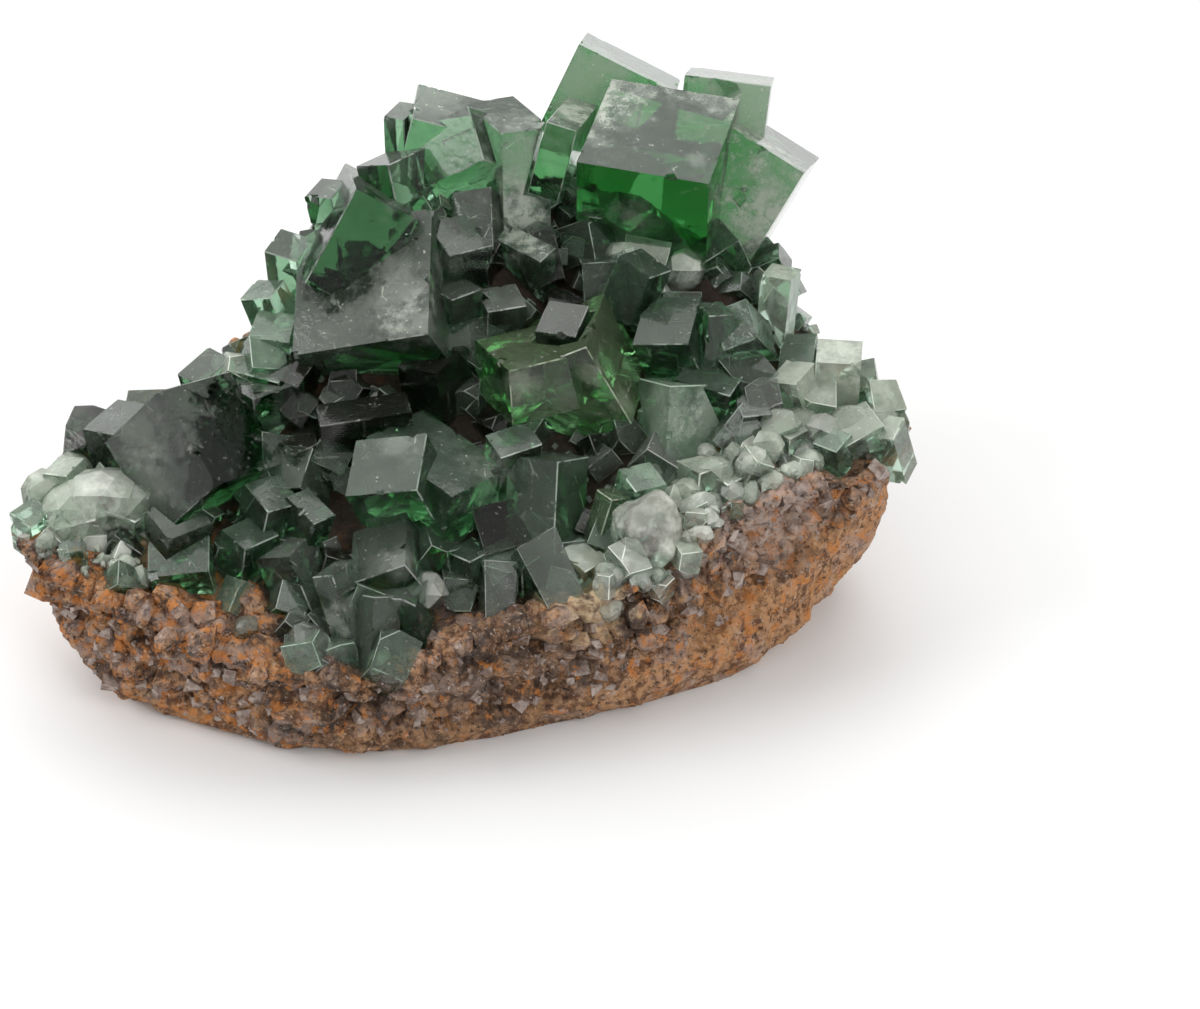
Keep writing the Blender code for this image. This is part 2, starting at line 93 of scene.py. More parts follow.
def camera_axes():
    sin_e, cos_e = math.sin(CAMERA_ELEVATION), math.cos(CAMERA_ELEVATION)
    forward = Vector((0.0, cos_e, -sin_e))
    level_right, level_up = Vector((1.0, 0.0, 0.0)), Vector((0.0, sin_e, cos_e))
    right = level_right * math.cos(CAMERA_ROLL) + level_up * math.sin(CAMERA_ROLL)
    up = level_up * math.cos(CAMERA_ROLL) - level_right * math.sin(CAMERA_ROLL)
    return right, up, forward


RIGHT, UP, FORWARD = camera_axes()
EYE = LOOKED_AT - FORWARD * CAMERA_DISTANCE


def sight_line(pixel):
    """The direction from the camera through a pixel of the photograph."""
    across = (pixel[0] - PHOTO_CENTRE[0]) / FOCAL_PIXELS
    down = (pixel[1] - PHOTO_CENTRE[1]) / FOCAL_PIXELS
    return (FORWARD + RIGHT * across - UP * down).normalized()


def pixel_of(point):
    """The pixel of the photograph that shows a point in mm."""
    ray = point - EYE
    scale = FOCAL_PIXELS / ray.dot(FORWARD)
    return PHOTO_CENTRE[0] + ray.dot(RIGHT) * scale, PHOTO_CENTRE[1] - ray.dot(UP) * scale


def over_border(point):
    """How many pixels above the crystals' lower border the photograph shows a point."""
    x, y = pixel_of(point)
    return float(np.interp(x, *zip(*CRYSTAL_BORDER))) - y


def bed_depth(point):
    """How far a point, in mm, lies under the plane of the bed."""
    return BED_HEIGHT + BED_SLOPE * point.y - point.z


def ramp(value, start, end):
    """0 before start, 1 after end, and smooth between; start may be the larger."""
    share = min(max((value - start) / (end - start), 0.0), 1.0)
    return share * share * (3.0 - 2.0 * share)


def tree_of(nodes):
    """The faces of some plain pieces in one tree, in mm."""
    corners, faces = [], []
    for node in nodes:
        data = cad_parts[node].data
        faces += [[index + len(corners) for index in polygon.vertices] for polygon in data.polygons]
        corners += [vert.co / MM for vert in data.vertices]
    return BVHTree.FromPolygons(corners, faces)


ROCK_TREE = tree_of(["matrix"])
CRYSTAL_TREE = tree_of([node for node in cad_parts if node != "matrix"])


def on_rock(pixel):
    """The place on the plain rock that a pixel of the photograph shows, in mm."""
    return ROCK_TREE.ray_cast(EYE, sight_line(pixel))[0]


def on_crystal(pixel):
    return CRYSTAL_TREE.ray_cast(EYE, sight_line(pixel))[0]


# Materials

class Wire:
    """A value on its way through a material's nodes, so that masks are written as sums."""

    def __init__(self, tree, socket):
        self.tree, self.socket = tree, socket

    def maths(self, operation, *others):
        node = self.tree.nodes.new("ShaderNodeMath")
        node.operation = operation
        for socket, value in zip(node.inputs, (self, *others)):
            plug(self.tree, socket, value)
        return Wire(self.tree, node.outputs[0])

    def __add__(self, other):
        return self.maths("ADD", other)

    def __mul__(self, other):
        return self.maths("MULTIPLY", other)

    def __sub__(self, other):
        return self.maths("SUBTRACT", other)

    def __rsub__(self, other):
        return self * -1.0 + other

    __radd__ = __add__

    def ramp(self, start, end):
        """0 before start and 1 after end."""
        if start > end:
            return 1.0 - self.ramp(end, start)
        return make(self.tree, "ShaderNodeMapRange", {"interpolation_type": "SMOOTHSTEP"},
                    {"Value": self, "From Min": start, "From Max": end})


def plug(tree, socket, value):
    if isinstance(value, Wire):
        tree.links.new(value.socket, socket)
    else:
        socket.default_value = value


def make(tree, kind, settings, inputs, output=0):
    """Add a node and return the wire of one of its outputs."""
    node = tree.nodes.new(kind)
    for name, value in settings.items():
        setattr(node, name, value)
    for name, value in inputs.items():
        plug(tree, node.inputs[name], value)
    return Wire(tree, node.outputs[output])


class Surface:
    """A material under construction, with the place on the object in mm."""

    def __init__(self, name):
        self.material = bpy.data.materials.new(name)
        self.material.use_nodes = True
        self.tree = self.material.node_tree
        self.tree.nodes.clear()
        place = make(self.tree, "ShaderNodeTexCoord", {}, {}, "Object")
        self.place = self.vector("SCALE", place, {"Scale": 1.0 / MM})
        axes = self.tree.nodes.new("ShaderNodeSeparateXYZ")
        plug(self.tree, axes.inputs[0], self.place)
        self.x, self.y, self.z = (Wire(self.tree, socket) for socket in axes.outputs)

    def facing(self):
        """How far the surface faces up: 1 on level tops, 0 on walls."""
        normal = make(self.tree, "ShaderNodeTexCoord", {}, {}, "Normal")
        axes = self.tree.nodes.new("ShaderNodeSeparateXYZ")
        plug(self.tree, axes.inputs[0], normal)
        return Wire(self.tree, axes.outputs[2])

    def near(self, point, radius):
        """1 at a point in mm, fading to 0 at the radius, with a ragged border."""
        away = self.vector("DISTANCE", self.place, {1: tuple(point)}, "Value")
        ragged = (self.noise(1.3, 6.0, 0.72, 90.0) - 0.5) * (radius * 2.6)
        return (away + ragged).ramp(radius * 1.1, radius * 0.2)

    def vector(self, operation, first, inputs, output=0):
        return make(self.tree, "ShaderNodeVectorMath", {"operation": operation}, {0: first, **inputs},
                    output)

    def noise(self, size, detail=3.0, rough=0.55, shift=0.0, stretch=(1.0, 1.0, 1.0)):
        """Soft noise with features of a size in mm, about 0 to 1."""
        place = self.vector("MULTIPLY", self.place, {1: tuple(k / size for k in stretch)})
        if shift:
            place = self.vector("ADD", place, {1: (shift, shift * 0.7, -shift)})
        return make(self.tree, "ShaderNodeTexNoise", {},
                    {"Vector": place, "Scale": 1.0, "Detail": detail, "Roughness": rough})

    def cells(self, size, feature="F1", output="Distance", shift=0.0):
        place = self.vector("ADD", self.place, {1: (shift, shift, shift)})
        return make(self.tree, "ShaderNodeTexVoronoi", {"feature": feature},
                    {"Vector": place, "Scale": 1.0 / size}, output)

    def blend(self, share, first, second):
        """A colour on its way from the first to the second."""
        node = self.tree.nodes.new("ShaderNodeMix")
        node.data_type = "RGBA"
        for index, value in ((0, share), (6, colour4(first)), (7, colour4(second))):
            plug(self.tree, node.inputs[index], value)
        return Wire(self.tree, node.outputs[2])

    def bump(self, height, reach, strength=1.0):
        """A normal for heights of 0 to 1 that stand for reach mm."""
        return make(self.tree, "ShaderNodeBump", {},
                    {"Height": height, "Distance": reach * MM, "Strength": strength}, "Normal")

    def principled(self, inputs):
        return make(self.tree, "ShaderNodeBsdfPrincipled", {}, inputs)

    def finish(self, surface, volume=None):
        out = self.tree.nodes.new("ShaderNodeOutputMaterial")
        plug(self.tree, out.inputs["Surface"], surface)
        if volume:
            plug(self.tree, out.inputs["Volume"], volume)
        return self.material


def colour4(value):
    return value if isinstance(value, Wire) else (*value, 1.0)


# The colour "bed" is painted shade, put on the bed under the crystals
ROCK_COLOURS = {
    "brown": (0.13, 0.055, 0.025), "tan": (0.46, 0.26, 0.135), "pink": (0.50, 0.35, 0.26),
    "lilac": (0.32, 0.26, 0.235), "dark": (0.04, 0.028, 0.022), "rust": (0.55, 0.20, 0.045),
    "cream": (0.66, 0.50, 0.31), "streak": (0.53, 0.28, 0.13), "orange": (0.56, 0.29, 0.12),
    "grey": (0.36, 0.28, 0.25), "back_brown": (0.22, 0.15, 0.11), "back_grey": (0.34, 0.27, 0.23),
    "quartz": (0.42, 0.36, 0.34), "pit": (0.03, 0.017, 0.011), "pale": (0.72, 0.56, 0.44),
    "ash": (0.46, 0.38, 0.34), "bed": (0.022, 0.014, 0.009),
}
CREAM_PATCHES = ((585, 597, 3.4), (140, 535, 2.4))    # the pixel and the radius in mm
ASH_PATCH = (770, 500, 6.0)


def rock_material():
    """Brown and pinkish-grey rock, with painted shade under the crystals and in the upper rock's hollows,
    rusty at the ends, with pale grains.
    """
    tints = ROCK_COLOURS
    s = Surface("Rock")
    depth = BED_HEIGHT + s.y * BED_SLOPE - s.z
    broad, middle = s.noise(8.0, 4.0), s.noise(2.2, 6.0, 0.62, 3.0)
    fine, speckle = s.noise(0.62, 5.0, 0.65, 8.0), s.noise(0.42, 6.0, 0.72, 70.0)
    wavy = depth + (broad - 0.5) * 5.0
    colour = s.blend(fine.ramp(0.42, 0.60), tints["brown"], tints["tan"])
    colour = s.blend(middle.ramp(0.50, 0.66) * (s.x.ramp(4.0, 16.0) * 0.4 + 0.4), colour, tints["pink"])
    zones = s.noise(4.4, 5.0, 0.7, 44.0)
    streaks = s.noise(0.9, 5.0, 0.65, 61.0, (1.0, 1.0, 0.3)) * s.x.ramp(8.0, 14.0)
    colour = s.blend(streaks.ramp(0.46, 0.60) * 0.6, colour, tints["streak"])
    colour = s.blend(zones.ramp(0.52, 0.62) * 0.42, colour, tints["orange"])
    colour = s.blend(zones.ramp(0.46, 0.38) * 0.5, colour, tints["grey"])
    upper = wavy.ramp(5.4, 2.4)
    behind = (s.y + (broad - 0.5) * 6.0).ramp(1.0, 5.0)
    colour = s.blend(behind * zones.ramp(0.42, 0.54) * 0.5, colour, tints["back_brown"])
    colour = s.blend(behind * broad.ramp(0.54, 0.46) * 0.6, colour, tints["back_grey"])
    flecks = s.noise(1.5, 5.0, 0.6, 19.0).ramp(0.46, 0.62)
    colour = s.blend(upper * flecks * 0.6, colour, tints["lilac"])
    # Painted shade: dark patches in the hollows of the upper rock under the crystals
    colour = s.blend(upper * middle.ramp(0.52, 0.42) * 0.8, colour, tints["dark"])
    centre = s.x.ramp(-20.0, -8.0) * s.x.ramp(14.0, 4.0)
    colour = s.blend(centre * broad.ramp(0.40, 0.56) * 0.35, colour, tints["dark"])
    band = wavy.ramp(6.6, 5.6) * wavy.ramp(3.8, 5.0) * s.noise(3.0, 4.0, 0.6, 27.0).ramp(0.46, 0.6)
    colour = s.blend(band * 0.7, colour, tints["dark"])
    ends = s.x.ramp(-2.0, -20.0) + s.x.ramp(11.0, 22.0) * 0.75 - behind * 0.8
    stain = s.noise(1.3, 6.0, 0.72, 15.0) + ends * 0.07 + (fine - 0.5) * 0.3
    colour = s.blend(stain.ramp(0.54, 0.68) * 0.85, colour, tints["rust"])
    quartz = s.noise(0.9, 3.0, shift=31.0).ramp(0.64, 0.72)
    colour = s.blend(quartz * 0.7, colour, tints["quartz"])
    colour = s.blend(speckle.ramp(0.55, 0.63) * 0.9, colour, tints["pit"])
    pale = s.noise(0.36, 5.0, 0.7, 52.0).ramp(0.58, 0.68)
    colour = s.blend(pale * 0.6, colour, tints["pale"])
    for x, y, radius in CREAM_PATCHES:
        colour = s.blend(s.near(on_rock((x, y)), radius) * middle.ramp(0.36, 0.5), colour, tints["cream"])
    x, y, radius = ASH_PATCH
    colour = s.blend(s.near(on_rock((x, y)), radius) * fine.ramp(0.40, 0.52) * 0.7, colour, tints["ash"])
    # Painted shade: the bed's level faces within the circles are made near black, as if shaded by the
    # crystals
    inner = s.noise(2.0, 4.0, 0.6, 80.0) * 3.0
    for x, y, radius in BED_CIRCLES:
        across, along = s.x - x, s.y - y
        away = (across * across + along * along).maths("SQRT") + inner
        level = s.facing().ramp(0.1, 0.5)
        colour = s.blend(away.ramp(radius + 2.6, radius + 0.6) * level * 0.92, colour, tints["bed"])
    height = fine * 0.5 + speckle * 0.4 + s.cells(0.5, shift=5.0) * 0.3
    return s.finish(s.principled({
        "Base Color": colour, "Roughness": 0.62 + fine * 0.3, "Normal": s.bump(height, 0.42),
        "Specular IOR Level": 0.35}))


# How a crystal looks: the colour that passes, how strongly it takes light per metre, its
# roughness, the cloudy share of its sides, the share of its upward faces under a pale film that is
# frost and painted sheen, and that cloud's colour
Look = namedtuple("Look", "passes density rough cloudy veil cloud")
LOOKS = {
    "deep": Look((0.09, 0.58, 0.17), 300.0, 0.03, 0.06, 0.20, (0.17, 0.22, 0.17)),
    "green": Look((0.16, 0.54, 0.23), 420.0, 0.05, 0.13, 0.25, (0.165, 0.215, 0.165)),
    "grey": Look((0.14, 0.48, 0.20), 480.0, 0.05, 0.10, 0.36, (0.17, 0.19, 0.165)),
    "dark": Look((0.14, 0.34, 0.18), 1100.0, 0.08, 0.04, 0.16, (0.055, 0.058, 0.045)),
    "olive": Look((0.22, 0.66, 0.22), 290.0, 0.05, 0.20, 0.26, (0.19, 0.235, 0.145)),
    "mint": Look((0.26, 0.74, 0.40), 260.0, 0.06, 0.18, 0.30, (0.26, 0.35, 0.26)),
    "smoke": Look((0.36, 0.50, 0.38), 480.0, 0.08, 0.22, 0.38, (0.185, 0.20, 0.175)),
    "pale": Look((0.56, 0.84, 0.62), 180.0, 0.08, 0.34, 0.40, (0.56, 0.61, 0.51)),
    "milky": Look((0.74, 0.88, 0.76), 120.0, 0.12, 0.46, 0.44, (0.68, 0.70, 0.62)),
    "frost": Look((0.74, 0.86, 0.74), 150.0, 0.12, 0.50, 0.44, (0.56, 0.57, 0.50)),
}

# Cloudy patches on the clear crystals, and clearer ones where the share is negative: the crystal,
# the place in the photograph, the radius in mm and the share of cloud that they add
PATCHES = {
    "top_crystals": ((603, 100, 2.4, 0.22), (628, 118, 2.0, 0.2), (596, 140, 1.4, 0.25),
                     (640, 90, 1.8, 0.2), (633, 218, 1.8, 0.3), (697, 160, 0.9, 0.3),
                     (584, 84, 6.4, 0.5), (570, 115, 4.0, 0.42), (745, 100, 6.0, 0.55),
                     (775, 190, 5.4, 0.45), (765, 235, 4.4, 0.4)),
    "peak_crystals": ((400, 292, 3.0, 0.3), (416, 320, 2.4, 0.3), (385, 262, 2.4, 0.2),
                      (330, 330, 5.0, 0.12), (440, 260, 1.5, 0.3), (362, 240, 4.4, -0.5),
                      (335, 275, 3.6, -0.5)),
    "left_crystals": ((140, 430, 3.0, 0.2), (150, 480, 3.0, 0.22), (176, 440, 3.0, 0.05),
                      (236, 415, 3.4, -0.6), (230, 445, 4.0, -0.6), (218, 478, 3.0, -0.6)),
    "centre_cube": ((520, 385, 1.6, 0.35), (590, 372, 1.2, 0.3), (625, 400, 1.6, 0.3)),
    "front_centre_crystals": ((490, 470, 2.4, 0.3), (400, 440, 2.0, 0.3), (520, 540, 1.8, 0.35)),
    "ridge_crystals": ((525, 225, 1.5, 0.4), (430, 95, 3.0, 0.3), (525, 180, 6.0, 0.42),
                       (520, 220, 4.0, 0.35), (470, 200, 4.0, 0.26)),
    "front_grey_crystals": ((334, 620, 1.5, 0.5), (400, 560, 1.8, 0.35)),
    "right_pair": ((660, 410, 3.0, 0.3), (715, 415, 3.0, 0.35)),
    "right_rim_crystals": ((820, 380, 5.0, 0.3), (850, 400, 4.0, 0.3)),
}
DUST = (0.42, 0.45, 0.38)  # colour of specks, cracks and patches
EDGE_LIGHT = 0.12          # how much paler than the cloud the worn edges are: wear and a painted highlight
BODY_TINT = (0.84, 0.93, 0.87)    # colour that a crystal's surface passes
FLUORITE_IOR = 1.434
CRACK_SPACING = 3.4        # mm


def crystal_material(name, look, patches=()):
    """Clear, absorbing glass under a broken, dusty film, with healed cracks and cloudy patches; the film
    is paler on upward faces as frost and painted sheen, and on worn edges as wear and a painted
    highlight.
    """
    s = Surface("Crystal_" + name)
    fine = s.noise(0.8, 4.0, 0.6, 4.0)
    steps = s.noise(1.8, 2.0, 0.5, 11.0, (1.0, 1.0, 3.0))
    normal = s.bump(fine * 0.4 + steps * 0.6, 0.04)
    glass = s.principled({
        "Base Color": (*BODY_TINT, 1.0), "Roughness": look.rough + fine * 0.08,
        "IOR": FLUORITE_IOR, "Transmission Weight": 1.0, "Normal": normal})
    mottle = s.noise(5.4, 4.0, 0.62, 23.0) * 0.7 + s.noise(1.1, 4.0, 0.6, 37.0) * 0.3
    upward = s.facing().ramp(-0.1, 0.75)
    specks = s.noise(0.3, 1.0, 0.5, 57.0).ramp(0.70, 0.76) * upward
    # Painted sheen: upward faces get a pale film, partly frost and partly a painted reflection of the
    # soft light above
    veil = upward * look.veil * (mottle * 1.3 + 0.3)
    bent = s.noise(1.0, 2.0, 0.5, 71.0) * 0.08
    cracks = ((s.cells(CRACK_SPACING, "DISTANCE_TO_EDGE", shift=13.0) + bent).ramp(0.056, 0.044)
              * s.noise(1.6, 4.0, 0.7, 83.0).ramp(0.52, 0.62))
    share = mottle.ramp(0.48, 0.68) * look.cloudy + veil + cracks * 0.25 + 0.03
    white = specks * 0.8 + cracks * 0.5
    for x, y, radius, strength in patches:
        patch = s.near(on_crystal((x, y)), radius) * strength
        share, white = share + patch, white + patch.maths("MAXIMUM", 0.0)
    # Worn edges: frosted wear and a painted highlight, made paler and more cloudy in patches
    edge = make(s.tree, "ShaderNodeAttribute", {"attribute_name": WORN_AND_HIGHLIT}, {}, "Fac")
    edge = edge * s.noise(1.4, 4.0, 0.6, 91.0).ramp(0.34, 0.60)
    film = s.blend(white.maths("MINIMUM", 1.0), look.cloud, DUST)
    film = s.blend(edge, film, tuple(part + EDGE_LIGHT for part in look.cloud))
    cloud = s.principled({"Base Color": film, "Roughness": 0.26, "Normal": normal})
    share = (share.maths("MAXIMUM", 0.0) + specks * 0.35 + edge * 0.8).maths("MINIMUM", 0.95)
    surface = make(s.tree, "ShaderNodeMixShader", {}, {0: share, 1: glass, 2: cloud})
    volume = make(s.tree, "ShaderNodeVolumeAbsorption", {},
                  {"Color": (*look.passes, 1.0), "Density": look.density})
    return s.finish(surface, volume)


# Meshes

def shown(name, mesh, material):
    """Make an object of a bmesh that rides on the specimen, its worn edges marked for the material, which
    paints them paler as wear and a painted highlight.
    """
    data = bpy.data.meshes.new(name)
    mesh.to_mesh(data)
    mesh.free()
    worn = data.attributes.new(WORN_AND_HIGHLIT, "FLOAT", "FACE")
    worn.data.foreach_set("value", [float(face.material_index) for face in data.polygons])
    data.polygons.foreach_set("material_index", [0] * len(data.polygons))
    obj = bpy.data.objects.new(name, data)
    bpy.context.scene.collection.objects.link(obj)
    obj.data.materials.append(material)
    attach(obj, "root")
    return obj


def merged_copy(node):
    mesh = bmesh.new()
    mesh.from_mesh(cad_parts[node].data)
    bmesh.ops.remove_doubles(mesh, verts=mesh.verts, dist=0.002 * MM)
    return mesh


def finely_divided(mesh, voxel):
    """A copy of a closed mesh with even, small faces of about the voxel size in mm."""
    data = bpy.data.meshes.new("fine")
    mesh.to_mesh(data)
    mesh.free()
    obj = bpy.data.objects.new("fine", data)
    bpy.context.scene.collection.objects.link(obj)
    remesh = obj.modifiers.new("remesh", "REMESH")
    remesh.mode, remesh.voxel_size = "VOXEL", voxel * MM
    fine = bpy.data.meshes.new_from_object(obj.evaluated_get(bpy.context.evaluated_depsgraph_get()))
    bpy.data.objects.remove(obj, do_unlink=True)
    result = bmesh.new()
    result.from_mesh(fine)
    bpy.data.meshes.remove(fine)
    result.normal_update()
    return result


# The rock

ROCK_VOXEL = 0.30          # mm
TOP_RAISE = 0.12           # lifts the bed to just under the feet of the crystals, mm
BORDER_RAISE = 1.2         # lifts the broken border of the bed further, mm
CLEAR_OF_CRYSTALS = 1.6    # how far from a crystal the border has its full height, mm
FOOT_BAND = 0.6            # height over the ground within which the rock isn't roughened, mm
LEDGE_DEPTH = 5.4          # where the broken upper rock ends on a ledge, mm under the bed
GRAIN_SIZES = (1.7, 0.85)  # of the upper rock's angular grains, mm
BACK_STEPS = ((6.5, 1.5), (2.6, 0.8))    # size and height of the broken steps on the back, mm
PIT_PLACES = Vector((9.0, 2.0, 5.0))     # shifts the noise that places the pits


def grain_height(point, size):
    """Angular grains: how high the grain at a point stands, 0 to 1."""
    near, centres = noise.voronoi(point / size)
    edge = ramp(near[1] - near[0], 0.0, 0.35)
    return edge * (0.5 + 0.5 * noise.noise(centres[0] * 7.3))


def rock_offset(point, normal):
    """How far the rock's surface moves along its normal at a point, in mm."""
    wander = 1.5 * noise.noise(point * 0.2) + 0.7 * noise.noise(point * 0.55)
    depth = bed_depth(point) + wander
    up = ramp(normal.z, 0.25, 0.7)
    upper = ramp(depth, LEDGE_DEPTH + 0.5, LEDGE_DEPTH - 0.3)
    broad = 0.45 * noise.noise(point * 0.17) + 0.4 * noise.noise(point * 0.5)
    grains = grain_height(point, GRAIN_SIZES[0]) + 0.5 * grain_height(point, GRAIN_SIZES[1]) - 1.0
    pit = ramp(noise.noise(point * 0.6 + PIT_PLACES), 0.26, 0.42)
    smooth = 0.24 * noise.noise(point * 1.1) + 0.2 * grain_height(point, 0.7) - 0.15
    offset = broad + upper * (grains - 0.8 * pit) + (1.0 - upper) * smooth
    behind = ramp(point.y + wander, 0.0, 6.0)
    if behind:
        steps = sum(height * grain_height(point, size) for size, height in BACK_STEPS) - 1.6
        offset += behind * steps * (1.0 - upper * 0.5)
    border = min(math.hypot(point.x - x, point.y - y) - radius for x, y, radius in BED_CIRCLES)
    border = ramp(border + wander, 0.0, 3.5) * ramp(point.y, 9.0, 5.0)
    if up * border > 0.0:
        border *= ramp(CRYSTAL_TREE.find_nearest(point)[3], 0.0, CLEAR_OF_CRYSTALS)
    rough = broad + grains + 0.6
    bed = TOP_RAISE + 0.2 * rough + border * (BORDER_RAISE + 0.7 * rough)
    return (offset * (1.0 - up) + up * bed) * ramp(point.z, 0.0, FOOT_BAND)


def make_rock():
    mesh = finely_divided(merged_copy("matrix"), ROCK_VOXEL)
    low, high = (np.array(corner) for corner in start_box)
    moved = []
    for vert in mesh.verts:
        point = vert.co / MM
        moved.append(np.array(point + vert.normal * rock_offset(point, vert.normal)) * MM)
    for vert, place in zip(mesh.verts, moved):
        vert.co = Vector(np.clip(place, low, high))
    bmesh.ops.recalc_face_normals(mesh, faces=mesh.faces)
    for face in mesh.faces:
        face.smooth = True
    return mesh


rock_mesh = make_rock()
rock_points = [(vert.co / MM, vert.normal.copy()) for vert in rock_mesh.verts]
bmesh.ops.scale(rock_mesh, vec=(1.0 / MM,) * 3, verts=rock_mesh.verts)
FINE_ROCK_TREE = BVHTree.FromBMesh(rock_mesh)
bmesh.ops.scale(rock_mesh, vec=(MM,) * 3, verts=rock_mesh.verts)
rock = shown("Rock", rock_mesh, rock_material())
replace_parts(rock, "matrix")


# The large crystals

NODE_LOOKS = {
    "top_crystals": "deep", "top_foot_crystal": "green", "ridge_crystals": "green",
    "peak_crystals": "grey", "peak_side_crystal": "green", "peak_step_crystals": "mint",
    "left_crystals": "grey", "front_left_crystals": "green", "front_grey_cube": "grey",
    "front_grey_crystals": "grey", "front_centre_crystals": "green", "olive_prism": "olive",
    "streaked_cube": "smoke", "centre_cube": "olive", "small_grey_cube": "smoke",
    "dark_cube": "dark", "dark_bar": "dark", "dark_slab": "dark",
    "right_centre_crystals": "green", "right_pair": "mint", "pale_cube": "mint",
    "right_rim_crystals": "pale", "right_step": "pale", "left_tip_crystal": "mint",
    "left_rim_milky_crystal": "milky", "left_rim_pale_crystal": "pale",
    "left_rim_grey_crystal": "smoke", "left_rim_dark_crystal": "green",
    "left_rim_back_crystal": "pale", "front_rim_crystal": "green",
    "front_rim_green_crystal": "green", "front_rim_pale_crystal": "pale",
    "right_rim_tall_crystal": "pale", "right_rim_low_crystal": "pale",
    "right_rim_grey_crystal": "smoke", "right_rim_round_crystal": "pale",
    "right_rim_mint_crystal": "mint", "right_tip_crystal": "pale",
}
EDGE_WEAR = 0.08           # width of the worn edges, mm
LEAST_EDGE = 0.6           # of an edge that is worn, mm
SHARP = math.radians(25.0)
NICK_SPACING = 7.0         # length of sharp edge for each nick, mm
NICK_SIZES = (0.25, 0.8)   # mm
NICK_OUT = 0.3             # how far outside the edge a nick's middle lies, of its size
NICK_UNEVEN = 0.2          # how far a nick's corners are out of place, of its size
FREE_EDGE = 2.4            # least length of the edges around a worn one, of the wear's width
LEAST_KEPT = 0.9           # of a crystal's volume, or the cut is given up

# Larger pieces broken off: the crystal, the place in the photograph and the size in mm
BREAKS = {
    "top_crystals": ((724, 88, 1.9), (593, 212, 1.6), (600, 240, 1.4), (740, 200, 0.9)),
    "peak_crystals": ((432, 215, 1.0), (300, 352, 1.0)),
    "left_crystals": ((168, 395, 0.9), (216, 480, 1.0)),
    "front_centre_crystals": ((380, 428, 1.2), (500, 470, 1.0)),
    "front_grey_cube": ((296, 600, 1.2),), "centre_cube": ((560, 450, 1.2), (500, 360, 0.8)),
    "left_rim_dark_crystal": ((160, 580, 1.2),), "left_rim_grey_crystal": ((200, 520, 1.0),),
    "right_pair": ((740, 405, 1.0),), "right_rim_crystals": ((860, 368, 0.9),),
}


def placed(centre, turn, sizes):
    """The matrix that puts a solid of size 1 at a centre in mm, turned, with sizes in mm."""
    return (Matrix.Translation(centre * MM) @ turn.to_matrix().to_4x4()
            @ Matrix.Diagonal((*(size * MM for size in sizes), 1.0)))


def add_cuboid(mesh, centre, turn, sizes, uneven):
    """Add a cuboid of sizes in mm at a centre in mm, its corners out of place by a share of its size."""
    made = bmesh.ops.create_cube(mesh, size=1.0, matrix=placed(centre, turn, sizes))["verts"]
    for vert in made:
        vert.co += Vector(RANDOM.uniform(-uneven, uneven, 3)) * min(sizes) * MM


def any_turn():
    return Quaternion(Vector(RANDOM.normal(size=3)).normalized(), RANDOM.uniform(0.0, math.tau))


def cut_away(mesh, cutters):
    """Cut small solids out of a closed mesh, or leave it whole if that fails."""
    objects = []
    spare, volume = mesh.copy(), mesh.calc_volume()
    for name, part in (("whole", mesh), ("cutters", cutters)):
        data = bpy.data.meshes.new(name)
        bmesh.ops.recalc_face_normals(part, faces=part.faces)
        bmesh.ops.scale(part, vec=(1.0 / MM,) * 3, verts=part.verts)
        part.to_mesh(data)
        part.free()
        objects.append(bpy.data.objects.new(name, data))
        bpy.context.scene.collection.objects.link(objects[-1])
    whole, tool = objects
    cut = whole.modifiers.new("cut", "BOOLEAN")
    cut.operation, cut.solver, cut.object, cut.use_self = "DIFFERENCE", "EXACT", tool, True
    result = bpy.data.meshes.new_from_object(whole.evaluated_get(bpy.context.evaluated_depsgraph_get()))
    mesh = bmesh.new()
    mesh.from_mesh(result)
    bmesh.ops.scale(mesh, vec=(MM,) * 3, verts=mesh.verts)
    for obj in objects:
        bpy.data.objects.remove(obj, do_unlink=True)
    share = mesh.calc_volume() / volume
    return mesh if LEAST_KEPT < share <= 1.0 else spare


def sharp_edges(mesh):
    return [edge for edge in mesh.edges
            if edge.is_manifold and edge.is_convex and edge.calc_length() > LEAST_EDGE * MM
            and edge.calc_face_angle(0.0) > SHARP]


def wear_edges(mesh, width):
    """Bevel the sharp edges by a width in mm, but not next to very short ones, and mark the new
    faces with a material index of 1."""
    mesh.normal_update()
    for face in mesh.faces:
        face.material_index = 0
    least = FREE_EDGE * width * MM
    free = [edge for edge in sharp_edges(mesh)
            if all(other.calc_length() > least for vert in edge.verts for other in vert.link_edges)]
    worn = bmesh.ops.bevel(mesh, geom=free, offset=width * MM, offset_type="OFFSET",
                           segments=1, profile=0.5, affect="EDGES", material=-1, clamp_overlap=False)
    for face in worn["faces"]:
        face.material_index = 1


